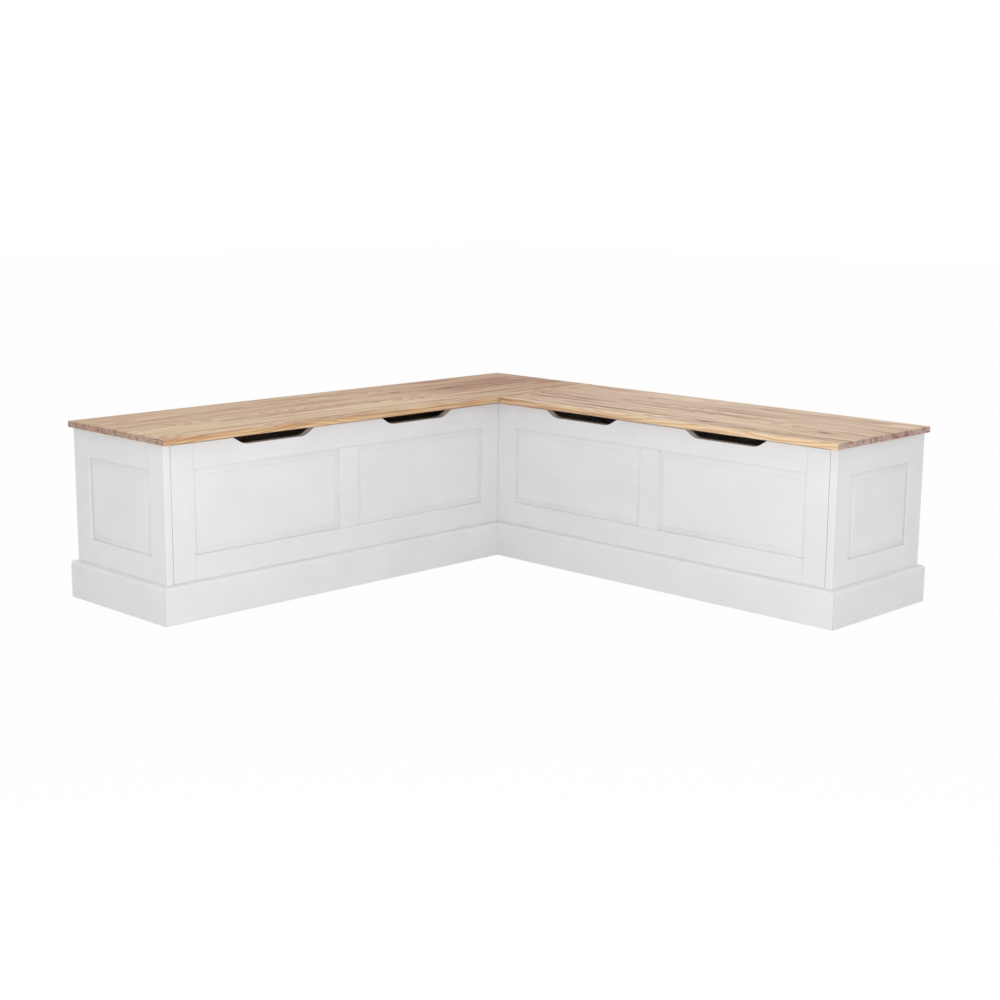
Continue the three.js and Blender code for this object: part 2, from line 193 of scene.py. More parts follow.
# %% [markdown]
# ## White paint, sprayed over pine
# The carcass is pine under two sprayed coats of satin white paint. From a step away it is an even,
# slightly cool white with a soft sheen. Close to, the spray leaves a fine orange peel, the hard winter
# wood stands up under the coat in slow waves along the grain, and the coat is a shade thinner in
# places. All of this is far too shallow to change the outline, so it is bump and a small shift of
# colour.

# %% Mix the paint
PAINT_WHITE = "#e7e7e9"
PAINT_THIN_COAT = "#e2e2e4"
WAVE_SHARE = 0.45                # how much the waves count in the coat's thickness, beside the clouds
COAT_THIN_AT = 0.45              # the sums of both noises that count as a thin and as a full coat
COAT_FULL_AT = 0.95


def coat_colour(tree, waves, clouds):
    """White where the coat is full, and a shade darker where it is thin."""
    coat = add_node(tree, "Math", {0: waves, 1: WAVE_SHARE, 2: clouds}, operation="MULTIPLY_ADD")
    fullness = add_node(tree, "MapRange", {
        "Value": coat, "From Min": COAT_THIN_AT, "From Max": COAT_FULL_AT,
    })
    return add_node(tree, "Mix", {
        "Factor": fullness, "A": srgb(PAINT_THIN_COAT), "B": srgb(PAINT_WHITE),
    }, data_type="RGBA")


print("Paint from", PAINT_THIN_COAT, "to", PAINT_WHITE)

# %% [markdown]
# ## The coat's surface
# Three noises of very different size make the surface: the peel of the spray, the waves of the wood
# under the coat, and broad clouds where the sprayer's passes met. The peel varies the sheen as well.
# Each grain direction gets its own paint, since the waves have to follow the wood.

# %% Spray the paint
PAINT_ROUGHNESS = (0.5, 0.6)
PEEL_SIZE_MM = 2.5               # real orange peel is nearer 1 mm, too fine to show in the picture
PEEL_DEPTH_MM = 0.006
WINTER_WOOD_SPACING_MM = 7
WINTER_WOOD_LENGTH_MM = 260
WINTER_WOOD_DEPTH_MM = 0.009
CLOUD_SIZE_MM = 120


def white_paint(axis):
    material, tree = new_material(f"sprayed_white_satin_paint_on_pine_{axis}")
    peel = add_node(tree, "TexNoise", {
        "Vector": stretched_coordinates(tree, axis, PEEL_SIZE_MM, PEEL_SIZE_MM), "Scale": 1, "Detail": 1,
    })
    waves = add_node(tree, "TexNoise", {
        "Vector": stretched_coordinates(tree, axis, WINTER_WOOD_SPACING_MM, WINTER_WOOD_LENGTH_MM),
        "Scale": 1, "Detail": 1, "Distortion": 0.6,
    })
    clouds = add_node(tree, "TexNoise", {
        "Vector": stretched_coordinates(tree, axis, CLOUD_SIZE_MM, CLOUD_SIZE_MM),
        "Scale": 1, "Detail": 2,
    })
    wood_relief = add_node(tree, "Bump", {
        "Height": waves, "Distance": WINTER_WOOD_DEPTH_MM * MM, "Strength": 1,
    })
    relief = add_node(tree, "Bump", {
        "Height": peel, "Distance": PEEL_DEPTH_MM * MM, "Strength": 1, "Normal": wood_relief,
    })
    smoothest, roughest = PAINT_ROUGHNESS
    sheen = add_node(tree, "MapRange", {"Value": peel, "To Min": smoothest, "To Max": roughest})
    surface = add_node(tree, "BsdfPrincipled", {
        "Base Color": coat_colour(tree, waves, clouds), "Roughness": sheen, "IOR": 1.45, "Normal": relief,
    })
    add_node(tree, "OutputMaterial", {"Surface": surface})
    return material


paints = {axis: white_paint(axis) for axis in AXES}
print("Paints:", [m.name for m in paints.values()])

# %% [markdown]
# ## Where a point is on a board
# A lid is glued from several boards. To draw the wood, a shader has to know how far along the grain a
# point lies, how far across it and how deep. It also has to know which of the boards the point is in,
# because every board is a different piece of tree.

# %% Measure along and across the boards
FAR_FROM_GLUE_MM = 1000          # for a single board, which has no glue line


def board_coordinates(tree, origin, along, across):
    """Distances in millimetres along the grain, across it and up, from a corner of the glued board."""
    place = add_node(tree, "TexCoord").outputs["Object"]
    local = add_node(tree, "VectorMath", {0: place, 1: origin}, operation="SUBTRACT")
    per_mm = [Vector(direction) / MM for direction in (along, across, (0, 0, 1))]
    return [add_node(tree, "VectorMath", {0: local, 1: d}, operation="DOT_PRODUCT") for d in per_mm]


def glued_boards(tree, across, widths_mm):
    """Which board a point is in, the middle of that board, and how near it is to a glue line."""
    index = 0
    middle = widths_mm[0] / 2
    nearest = FAR_FROM_GLUE_MM
    edge = 0
    for left, right in zip(widths_mm, widths_mm[1:]):
        edge += left
        step = (left + right) / 2
        past = add_node(tree, "Math", {0: across, 1: edge}, operation="GREATER_THAN")
        index = add_node(tree, "Math", {0: past, 1: index}, operation="ADD")
        middle = add_node(tree, "Math", {0: past, 1: step, 2: middle}, operation="MULTIPLY_ADD")
        offset = add_node(tree, "Math", {0: across, 1: edge}, operation="SUBTRACT")
        gap = add_node(tree, "Math", {0: offset}, operation="ABSOLUTE")
        nearest = add_node(tree, "Math", {0: gap, 1: nearest}, operation="MINIMUM")
    return index, middle, nearest


print("A single board counts as", FAR_FROM_GLUE_MM, "mm from a glue line")

# %% [markdown]
# ## The pith
# A pine board is a slice of a log. The log's growth rings are cylinders round its pith, pale summer
# wood that darkens to a hard line of winter wood. A flat-sawn board passes a few centimetres above the
# pith, so its face cuts the rings almost level and shows long arches, and its end shows the rings as
# arcs. A picture wrapped round the board could not do both, so the rings are worked out in space, from
# the distance to the pith. A tree never grows quite straight, so its pith wanders.

# %% Measure from the pith
PITH_BELOW_FACE_MM = 52
PITH_SIDE_SPREAD_MM = 90
PITH_WANDER_MM = 34
PITH_WANDER_LENGTH_MM = 560
BOARD_STEP = 7.3                 # how far apart in the noise two neighbouring boards are
DEPTH_STEP = 3.7                 # the same for the pith's wandering sideways and up and down


def wander(tree, along, index, seed):
    """A smooth number from -0.5 to 0.5 that changes slowly along a board."""
    place = add_node(tree, "Math", {0: along, 1: PITH_WANDER_LENGTH_MM}, operation="DIVIDE")
    seeded = add_node(tree, "Math", {0: place, 1: seed}, operation="ADD")
    own = add_node(tree, "Math", {0: index, 1: BOARD_STEP, 2: seeded}, operation="MULTIPLY_ADD")
    noise = add_node(tree, "TexNoise", {"W": own, "Scale": 1, "Detail": 1}, noise_dimensions="1D")
    return add_node(tree, "Math", {0: noise, 1: 0.5}, operation="SUBTRACT")


def pith_distance(tree, along, across, up, index, middle, chance, seed):
    """How far a point lies from its board's pith, which chance puts to one side of the middle."""
    sideways = wander(tree, along, index, seed)
    upwards = wander(tree, along, index, seed + DEPTH_STEP)
    aside = add_node(tree, "Math", {0: chance, 1: 0.5}, operation="SUBTRACT")
    line = add_node(tree, "Math", {
        0: aside, 1: PITH_SIDE_SPREAD_MM, 2: middle,
    }, operation="MULTIPLY_ADD")
    side = add_node(tree, "Math", {
        0: sideways, 1: PITH_WANDER_MM, 2: line,
    }, operation="MULTIPLY_ADD")
    depth = add_node(tree, "Math", {
        0: upwards, 1: PITH_WANDER_MM * 2, 2: PITH_BELOW_FACE_MM,
    }, operation="MULTIPLY_ADD")
    x = add_node(tree, "Math", {0: across, 1: side}, operation="SUBTRACT")
    y = add_node(tree, "Math", {0: up, 1: depth}, operation="ADD")
    y_squared = add_node(tree, "Math", {0: y, 1: y}, operation="MULTIPLY")
    squared = add_node(tree, "Math", {0: x, 1: x, 2: y_squared}, operation="MULTIPLY_ADD")
    return add_node(tree, "Math", {0: squared}, operation="SQRT")


print("The pith runs about", PITH_BELOW_FACE_MM, "mm below the face")

# %% [markdown]
# ## Knots
# A knot is a branch that the trunk grew round. It is a small dark oval in the face, and the rings swell
# round it far beyond its rim. One function gives a soft oval of any length and width, for the knots and
# later for the streaks. A low power of it falls off much more slowly, and so gives the wide swelling.

# %% Place a mark, and swell the rings round the knots
KNOT_SWELL_MM = 12
KNOT_SWELL_POWER = 0.12          # the lower it is, the wider the swelling


def nearness(tree, along, across, at, depth, length, width):
    """1 in the middle of a mark, falling smoothly to 0 outside its length and width."""
    past = add_node(tree, "Math", {0: along, 1: at}, operation="SUBTRACT")
    aside = add_node(tree, "Math", {0: across, 1: depth}, operation="SUBTRACT")
    x = add_node(tree, "Math", {0: past, 1: length / 2}, operation="DIVIDE")
    y = add_node(tree, "Math", {0: aside, 1: width / 2}, operation="DIVIDE")
    y_squared = add_node(tree, "Math", {0: y, 1: y}, operation="MULTIPLY")
    squared = add_node(tree, "Math", {0: x, 1: x, 2: y_squared}, operation="MULTIPLY_ADD")
    fall = add_node(tree, "Math", {0: squared, 1: -1}, operation="MULTIPLY")
    return add_node(tree, "Math", {0: fall}, operation="EXPONENT")


def swell_round_knots(tree, radius, along, across, knots):
    """The distance from the pith with the knots' swelling added, and how dark the knots are."""
    darkness = 0
    for knot in knots:
        near = nearness(tree, along, across, *knot)
        swell = add_node(tree, "Math", {0: near, 1: KNOT_SWELL_POWER}, operation="POWER")
        radius = add_node(tree, "Math", {0: swell, 1: KNOT_SWELL_MM, 2: radius}, operation="MULTIPLY_ADD")
        darkness = add_node(tree, "Math", {0: near, 1: darkness}, operation="ADD")
    return radius, darkness


print("A knot swells the rings by", KNOT_SWELL_MM, "mm")

# %% [markdown]
# ## Growth rings
# The distance from the pith, divided by the ring spacing, counts the rings. Real rings are not even:
# they ripple, and a good summer gives a wide one. Two noises shift the distance for that, one over the
# face of the board and one from ring to ring.

# %% Count the rings
RING_SPACING_MM = 7
RING_UNEVENNESS_MM = 5
GOOD_YEARS_MM = 21               # the width over which good and poor summers take turns
RIPPLE_MM = 3                    # to each side of the mean
RIPPLE_WIDTH_MM = 26
RIPPLE_LENGTH_MM = 182


def rippled(tree, radius, along, across, index):
    """The distance from the pith, with the small ripples of real rings."""
    place = add_node(tree, "CombineXYZ", {
        0: add_node(tree, "Math", {0: along, 1: RIPPLE_LENGTH_MM}, operation="DIVIDE"),
        1: add_node(tree, "Math", {0: across, 1: RIPPLE_WIDTH_MM}, operation="DIVIDE"),
        2: index,
    })
    ripple = add_node(tree, "TexNoise", {"Vector": place, "Scale": 1, "Detail": 3})
    return add_node(tree, "Math", {0: ripple, 1: RIPPLE_MM * 2, 2: radius}, operation="MULTIPLY_ADD")


def growth_rings(tree, along, across, up, index, middle, knots, seed):
    """Distance from the pith in ring spacings, the knots' own darkness, and the board's tone."""
    own_seed = add_node(tree, "Math", {0: index, 1: seed}, operation="ADD")
    chance = add_node(tree, "TexWhiteNoise", {"W": own_seed}, noise_dimensions="1D")
    radius = pith_distance(tree, along, across, up, index, middle, chance, seed)
    radius = rippled(tree, radius, along, across, index)
    radius, darkness = swell_round_knots(tree, radius, along, across, knots)
    year = add_node(tree, "Math", {0: radius, 1: GOOD_YEARS_MM}, operation="DIVIDE")
    uneven = add_node(tree, "TexNoise", {"W": year, "Scale": 1, "Detail": 1}, noise_dimensions="1D")
    radius = add_node(tree, "Math", {
        0: uneven, 1: RING_UNEVENNESS_MM, 2: radius,
    }, operation="MULTIPLY_ADD")
    rings = add_node(tree, "Math", {0: radius, 1: RING_SPACING_MM}, operation="DIVIDE")
    return rings, darkness, chance


print("A ring every", RING_SPACING_MM, "mm")

# %% [markdown]
# ## Streaks of heartwood, and painted shade at the corner
# Near the heart of the tree the wood is browner and a little pink. Where a board cuts that zone it has
# long soft streaks along the grain, which are what a pine top shows from across a room. Some are left
# to chance, as noise drawn out along the grain. The strongest are set down one by one, as places on
# the board, because each real lid has its own. The broadest of these places, at the lids' inner
# corner, are painted shade: they darken the wood where the lacquer throws back less light.

# %% Heartwood streaks
STREAK_WIDTH_MM = 20
STREAK_LENGTH_MM = 520
STREAK_BOARD_STEP = 5.1          # how far apart in the noise two neighbouring boards are
STREAK_STARTS = 0.44             # the values of the noise where a streak begins and where it is full
STREAK_FULL = 0.7
CHANCE_STREAK_SHARE = 0.8


def heart_streaks_and_corner_shade(tree, along, across, up, index, marks):
    """How much heartwood shows, with the painted shade at the lids' inner corner, from 0 to 1."""
    layer = add_node(tree, "Math", {0: up, 1: STREAK_WIDTH_MM}, operation="DIVIDE")
    place = add_node(tree, "CombineXYZ", {
        0: add_node(tree, "Math", {0: along, 1: STREAK_LENGTH_MM}, operation="DIVIDE"),
        1: add_node(tree, "Math", {0: across, 1: STREAK_WIDTH_MM}, operation="DIVIDE"),
        2: add_node(tree, "Math", {0: index, 1: STREAK_BOARD_STEP, 2: layer}, operation="MULTIPLY_ADD"),
    })
    noise = add_node(tree, "TexNoise", {"Vector": place, "Scale": 1, "Detail": 3, "Roughness": 0.6})
    total = add_node(tree, "MapRange", {
        "Value": noise, "From Min": STREAK_STARTS, "From Max": STREAK_FULL, "To Max": CHANCE_STREAK_SHARE,
    }, interpolation_type="SMOOTHSTEP")
    # The set marks hold real heartwood streaks and the painted shade at the inner corner.
    for *mark, share in marks:
        near = nearness(tree, along, across, *mark)
        total = add_node(tree, "Math", {0: near, 1: share, 2: total}, operation="MULTIPLY_ADD")
    return add_node(tree, "Math", {0: total, 1: 1}, operation="MINIMUM")


print("Streaks", STREAK_WIDTH_MM, "mm wide")

# %% [markdown]
# ## Winter lines and fibres
# Each ring starts pale and ends in a thin dark line of winter wood, with a sharp outer edge. A colour
# ramp over one ring draws that. The wood's fibres are far finer than the rings, and they break the
# lines up, so that these look grown and not printed.

# %% Draw the winter lines
WINTER_LINE_SHARES = ((0.0, 0.0), (0.5, 0.18), (0.82, 0.8), (0.92, 1.0), (1.0, 0.0))
FIBRE_WIDTH_MM = 1.1             # real fibres are about 0.04 mm wide, too fine to show in the picture
FIBRE_LENGTH_MM = 42
FIBRE_CONTRAST = 0.6
FAINTEST_LINE = 0.5              # how much of a line is left where the fibres break it up most


def ring_line(tree, rings):
    """0 in pale summer wood, rising to 1 in the winter wood at the end of each ring."""
    in_ring = add_node(tree, "Math", {0: rings}, operation="FRACT")
    ramp_node = add_node(tree, "ValToRGB", {"Fac": in_ring})
    ramp = ramp_node.color_ramp
    while len(ramp.elements) < len(WINTER_LINE_SHARES):
        ramp.elements.new(0.5)
    for element, (position, dark) in zip(ramp.elements, WINTER_LINE_SHARES):
        element.position = position
        element.color = (dark, dark, dark, 1)
    return ramp_node


def wood_fibres(tree, along, across, up):
    sizes_mm = (FIBRE_LENGTH_MM, FIBRE_WIDTH_MM, FIBRE_WIDTH_MM)
    place = add_node(tree, "CombineXYZ", {
        side: add_node(tree, "Math", {0: distance, 1: size}, operation="DIVIDE")
        for side, (distance, size) in enumerate(zip((along, across, up), sizes_mm))
    })
    return add_node(tree, "TexNoise", {"Vector": place, "Scale": 1, "Detail": 2})


def winter_line(tree, rings, fibre):
    """How dark the winter wood is drawn, with the fibres breaking it up."""
    broken = add_node(tree, "Math", {
        0: fibre, 1: FIBRE_CONTRAST, 2: FAINTEST_LINE,
    }, operation="MULTIPLY_ADD")
    return add_node(tree, "Math", {0: ring_line(tree, rings), 1: broken}, operation="MULTIPLY")


print("Fibres", FIBRE_WIDTH_MM, "mm wide and", FIBRE_LENGTH_MM, "mm long")

# %% [markdown]
# ## The stain of the cut faces
# Sawn edges and end grain drink more lacquer than the planed face. The long edge looks a little more
# golden for it. The end grain turns darker and cooler. Which way a face looks tells the shader which
# of them it is, and the stain multiplies the wood's colour as a real glaze would.

# %% Stain the edges and the ends
UNSTAINED = "#ffffff"
LONG_EDGE_STAIN = "#fffaee"
END_GRAIN_STAIN = "#d3d0e4"
STAIN_STARTS = 0.5               # cosines of the angle between a face's normal and the cut's direction
STAIN_FULL = 0.9


def faces_towards(tree, direction):
    """1 on faces that look along a direction, or straight against it, and 0 on the others."""
    normal = add_node(tree, "TexCoord").outputs["Normal"]
    facing = add_node(tree, "VectorMath", {0: normal, 1: direction}, operation="DOT_PRODUCT")
    either_way = add_node(tree, "Math", {0: facing}, operation="ABSOLUTE")
    return add_node(tree, "MapRange", {
        "Value": either_way, "From Min": STAIN_STARTS, "From Max": STAIN_FULL,
    })


def stain_cut_faces(tree, wood, along, across):
    stain = srgb(UNSTAINED)
    for direction, colour in ((across, LONG_EDGE_STAIN), (along, END_GRAIN_STAIN)):
        stain = add_node(tree, "Mix", {
            "Factor": faces_towards(tree, direction), "A": stain, "B": srgb(colour),
        }, data_type="RGBA")
    return add_node(tree, "VectorMath", {0: wood, 1: stain}, operation="MULTIPLY")


print("Stains:", LONG_EDGE_STAIN, "on the long edge,", END_GRAIN_STAIN, "on the ends")

# %% [markdown]
# ## Pine, from summer wood to glue line
# The wood's colour is built up as layers, each laid over the last as far as its share says: the winter
# lines over the pale summer wood, then the board's own tone, the streaks with the painted shade at the
# inner corner, the knots and the glue lines.

# %% Layer the colours
# Heart brown also paints the shade at the lids' inner corner.
HEART_BROWN_AND_SHADE = "#9a6038"
KNOT_BROWN = "#6e4128"
GLUE_LINE = "#8a6038"
BOARD_TONE_SHARE = 0.3           # how much browner than the palest board the brownest one can be
KNOT_RIM = 0.25                  # how near its middle a knot begins to darken the wood, from 0 to 1
KNOT_CORE = 0.8                  # and where it is darkest
KNOT_SHARE = 0.8
GLUE_LINE_WIDTH_MM = 0.9
GLUE_LINE_SHARE = 0.6


def wood_layers(tree, winter, line, chance, streaks, knot_dark, to_glue):
    """Each layer's share and its colour, from the lowest layer to the top one."""
    tone = add_node(tree, "Math", {0: chance, 1: BOARD_TONE_SHARE}, operation="MULTIPLY")
    knot = add_node(tree, "MapRange", {
        "Value": knot_dark, "From Min": KNOT_RIM, "From Max": KNOT_CORE, "To Max": KNOT_SHARE,
    }, interpolation_type="SMOOTHSTEP")
    in_glue = add_node(tree, "Math", {0: to_glue, 1: GLUE_LINE_WIDTH_MM / 2}, operation="LESS_THAN")
    glue = add_node(tree, "Math", {0: in_glue, 1: GLUE_LINE_SHARE}, operation="MULTIPLY")
    return (
        (line, winter), (tone, HEART_BROWN_AND_SHADE), (streaks, HEART_BROWN_AND_SHADE), (knot, KNOT_BROWN), (glue, GLUE_LINE),
    )


print("A glue line is", GLUE_LINE_WIDTH_MM, "mm wide")

# %% [markdown]
# ## One recipe for every board
# All the parts come together here: the coordinates, the rings, the fibres and the streaks, the layers
# of colour, and the stain. The winter wood is harder than the rest and stands up a little after
# sanding, which the bump repeats.

# %% Build up the wood
WOOD_RELIEF_MM = 0.03
WINTER_LINE_RELIEF = 0.6         # the height of a winter line, where the fibres count as 1


def pine(name, origin, along, across, widths_mm, knots, marks, seed, summer, winter, roughness):
    material, tree = new_material(name)
    length, width, up = board_coordinates(tree, origin, along, across)
    index, middle, to_glue = glued_boards(tree, width, widths_mm)
    rings, knot_dark, chance = growth_rings(tree, length, width, up, index, middle, knots, seed)
    fibre = wood_fibres(tree, length, width, up)
    line = winter_line(tree, rings, fibre)
    streaks = heart_streaks_and_corner_shade(tree, length, width, up, index, marks)
    wood = srgb(summer)
    for share, colour in wood_layers(tree, winter, line, chance, streaks, knot_dark, to_glue):
        wood = add_node(tree, "Mix", {"Factor": share, "A": wood, "B": srgb(colour)}, data_type="RGBA")
    height = add_node(tree, "Math", {
        0: line, 1: WINTER_LINE_RELIEF, 2: fibre,
    }, operation="MULTIPLY_ADD")
    relief = add_node(tree, "Bump", {"Height": height, "Distance": WOOD_RELIEF_MM * MM, "Strength": 1})
    surface = add_node(tree, "BsdfPrincipled", {
        "Base Color": stain_cut_faces(tree, wood, along, across),
        "Roughness": roughness, "IOR": 1.5, "Normal": relief,
    })
    add_node(tree, "OutputMaterial", {"Surface": surface})
    return material


print("The wood's relief is", WOOD_RELIEF_MM, "mm deep")

# %% [markdown]
# ## Lacquered pine for the lids
# The lids are edge-glued pine boards, planed, sanded and sprayed with clear satin lacquer. The lacquer
# deepens the wood's colour and lays an even sheen over it, which is why the tops look paler and
# greyer than the front edges when seen at a low angle. The widths of the glued boards and the places
# of the knots and streaks are the ones that the photograph shows, as distances in millimetres along
# the grain and in from the back edge. After them come a knot's or a mark's length and width, and for
# a mark the share of heart brown in its middle. The broadest marks, at the end by the inner corner,
# are painted shade: they darken the wood where the lacquer throws back less light.

# %% Lacquer the long lid
LACQUER_ROUGHNESS = 0.52
LONG_LID_SEED = 2
LONG_LID_SUMMER = "#ebd0aa"
LONG_LID_WINTER = "#b5865b"
LONG_LID_BOARDS_MM = (138, 118, 96, 60)
LONG_LID_KNOTS_MM = ((968, 140, 46, 20), (800, 252, 36, 13), (945, 275, 46, 14), (1150, 165, 60, 26))
# The two broadest marks, at 1080 and 1380 mm along, are painted shade at the inner corner.
LONG_LID_STREAKS_AND_SHADE_MM = (
    (150, 142, 250, 13, 0.5), (455, 262, 380, 12, 0.7), (690, 140, 130, 14, 0.4),
    (950, 152, 170, 22, 0.45), (1215, 38, 120, 26, 0.7), (1160, 172, 150, 46, 0.6),
    (1400, 120, 120, 46, 0.35), (1480, 250, 60, 90, 0.4), (1310, 130, 90, 16, 0.3),
    (1380, 190, 460, 460, 0.6), (1080, 200, 320, 420, 0.16), (1290, 215, 260, 18, 0.4),
    (1180, 300, 200, 14, 0.35),
)

lid_low, lid_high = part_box("long_lid")
long_lid_pine = pine(
    "satin_lacquered_pine_long_lid", (lid_low.x, lid_high.y, lid_high.z), (1, 0, 0), (0, -1, 0),
    LONG_LID_BOARDS_MM, LONG_LID_KNOTS_MM, LONG_LID_STREAKS_AND_SHADE_MM, LONG_LID_SEED,
    summer=LONG_LID_SUMMER, winter=LONG_LID_WINTER, roughness=LACQUER_ROUGHNESS)
print("Long lid boards:", LONG_LID_BOARDS_MM)

# %% [markdown]
# ## The short lid's own boards
# The short lid is glued from paler boards with softer winter lines. Its distances start at the seam
# with the long lid.

# %% Lacquer the short lid
SHORT_LID_SEED = 5
SHORT_LID_SUMMER = "#f7e1c2"
SHORT_LID_WINTER = "#c89e79"
SHORT_LID_BOARDS_MM = (96, 112, 60, 60, 84)
SHORT_LID_KNOTS_MM = ((678, 355, 52, 16), (990, 290, 44, 15), (300, 118, 30, 10))
# The broadest mark, 80 mm from the seam, is painted shade at the inner corner.
SHORT_LID_STREAKS_AND_SHADE_MM = (
    (90, 40, 200, 24, 0.6), (430, 214, 420, 12, 0.45), (420, 262, 360, 12, 0.5),
    (330, 335, 300, 12, 0.4), (678, 356, 110, 26, 0.45), (988, 292, 100, 24, 0.4),
    (665, 26, 90, 16, 0.5), (985, 48, 90, 18, 0.5), (180, 262, 90, 22, 0.35),
    (80, 220, 520, 460, 0.16),
)

lid_low, lid_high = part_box("short_lid")
short_lid_pine = pine(
    "satin_lacquered_pine_short_lid", (lid_high.x, lid_high.y, lid_high.z), (0, -1, 0), (-1, 0, 0),
    SHORT_LID_BOARDS_MM, SHORT_LID_KNOTS_MM, SHORT_LID_STREAKS_AND_SHADE_MM, SHORT_LID_SEED,
    summer=SHORT_LID_SUMMER, winter=SHORT_LID_WINTER, roughness=LACQUER_ROUGHNESS)
print("Short lid boards:", SHORT_LID_BOARDS_MM)

# %% [markdown]
# ## Plain pine inside
# The floors and the cleats under the lids are the same wood, planed but left bare. Without lacquer it
# is fully matt, and it keeps the even yellow of fresh pine.

# %% Plane the inside boards
BARE_SUMMER = "#e9d0a8"
BARE_WINTER = "#c69a68"
BARE_ROUGHNESS = 0.65
FLOOR_BOARDS_MM = (90, 90, 90, 90)
CLEAT_BOARDS_MM = (60,)
FIRST_BARE_SEED = 10             # the seeds go up from here, clear of the two lids' own


def bare_pine(node_name, widths_mm, seed):
    low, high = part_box(node_name)
    along_x = grain_axis(node_name) == "X"
    along = (1, 0, 0) if along_x else (0, 1, 0)
    across = (0, 1, 0) if along_x else (1, 0, 0)
    return pine(
        f"planed_bare_pine_{node_name}", (low.x, low.y, high.z), along, across,
        widths_mm, knots=(), marks=(), seed=seed,
        summer=BARE_SUMMER, winter=BARE_WINTER, roughness=BARE_ROUGHNESS)


bare_names = sorted(name for name in nodes if "cleat" in name or "floor_board" in name)
bare_pines = {}
for seed, name in enumerate(bare_names, start=FIRST_BARE_SEED):
    boards_mm = FLOOR_BOARDS_MM if "floor_board" in name else CLEAT_BOARDS_MM
    bare_pines[name] = bare_pine(name, boards_mm, seed)
print("Bare pine pieces:", bare_names)

# %% [markdown]
# ## Zinc-plated hinges
# The butt hinges are stamped steel with bright zinc plating. Rolling and plating leave a slightly
# streaky metal, so the roughness varies a little along it.

# %% Plate the steel
ZINC = "#c3c6ca"
ZINC_ROUGHNESS = (0.22, 0.42)
ZINC_STREAK_MM = 0.8
ZINC_STREAK_LENGTH_MM = 30


def zinc_plate(axis):
    material, tree = new_material(f"bright_zinc_plated_steel_{axis}")
    streaks = add_node(tree, "TexNoise", {
        "Vector": stretched_coordinates(tree, axis, ZINC_STREAK_MM, ZINC_STREAK_LENGTH_MM),
        "Scale": 1, "Detail": 3,
    })
    smoothest, roughest = ZINC_ROUGHNESS
    sheen = add_node(tree, "MapRange", {"Value": streaks, "To Min": smoothest, "To Max": roughest})
    surface = add_node(tree, "BsdfPrincipled", {
        "Base Color": srgb(ZINC), "Metallic": 1, "Roughness": sheen,
    })
    add_node(tree, "OutputMaterial", {"Surface": surface})
    return material


zinc = {axis: zinc_plate(axis) for axis in AXES}
print("Metals:", [m.name for m in zinc.values()])

# %% [markdown]
# ## Soft bumpers
# The bumpers between the lids and the rails are moulded in a soft off-white plastic. The mould has a
# fine eroded surface, which makes them look dry, so a small grit is laid over them as bump.

# %% Mould the plastic
PLASTIC_WHITE = "#f0eee8"
PLASTIC_GRIT_MM = 0.6
PLASTIC_GRIT_DEPTH_MM = 0.04


def soft_plastic():
    material, tree = new_material("moulded_soft_white_plastic")
    grit = add_node(tree, "TexNoise", {
        "Vector": stretched_coordinates(tree, "Z", PLASTIC_GRIT_MM, PLASTIC_GRIT_MM), "Scale": 1,
    })
    relief = add_node(tree, "Bump", {
        "Height": grit, "Distance": PLASTIC_GRIT_DEPTH_MM * MM, "Strength": 1,
    })
    surface = add_node(tree, "BsdfPrincipled", {
        "Base Color": srgb(PLASTIC_WHITE), "Roughness": 0.6, "IOR": 1.5, "Normal": relief,
    })
    add_node(tree, "OutputMaterial", {"Surface": surface})
    return material


bumper_plastic = soft_plastic()
print("Plastic:", bumper_plastic.name)

# %% [markdown]
# ## Sanded edges
# The solids come in as loose triangles with hard edges, and real joinery has none. A weld joins the
# triangles, a planar dissolve merges those of one face, and a small bevel rounds every sharp edge as
# sandpaper does, so that edges catch the light. The last modifier shades the large faces flat up to
# the bevel.

# %% Soften the edges
WELD_MM = 0.01
FLAT_ANGLE = math.radians(1)
SHARP_ANGLE = math.radians(34)


def soften(piece, edge_mm):
    """Rounds a piece's edges. Its stored normals and sharp marks go first: they fit the hard edges only."""
    for attribute in ("custom_normal", "sharp_face", "sharp_edge"):
        if attribute in piece.data.attributes:
            piece.data.attributes.remove(piece.data.attributes[attribute])
    weld = piece.modifiers.new("weld", "WELD")
    weld.merge_threshold = WELD_MM * MM
    faces = piece.modifiers.new("faces", "DECIMATE")
    faces.decimate_type = "DISSOLVE"
    faces.angle_limit = FLAT_ANGLE
    bevel = piece.modifiers.new("sanded_edges", "BEVEL")
    bevel.width = edge_mm * MM
    bevel.segments = 2
    bevel.limit_method = "ANGLE"
    bevel.angle_limit = SHARP_ANGLE
    shading = piece.modifiers.new("shading", "WEIGHTED_NORMAL")
    shading.keep_sharp = True


print("Edges sharper than", math.degrees(SHARP_ANGLE), "degrees get rounded")

# %% [markdown]
# ## Dress every piece
# Each solid from the model keeps its shape and gets its finish by its name. Bare and lacquered wood is
# sanded rounder than painted wood, and stamped metal keeps the crispest edge.

# %% Assign the finishes
SANDED_EDGE_MM = {"paint": 0.3, "lid": 0.6, "bare": 0.6, "metal": 0.2, "plastic": 0.3}


def finish_of(node_name):
    if node_name == "long_lid":
        return "lid", long_lid_pine
    if node_name == "short_lid":
        return "lid", short_lid_pine
    if node_name in bare_pines:
        return "bare", bare_pines[node_name]
    if "hinge" in node_name:
        return "metal", zinc[grain_axis(node_name)]
    if "bumper" in node_name:
        return "plastic", bumper_plastic
    return "paint", paints[grain_axis(node_name)]


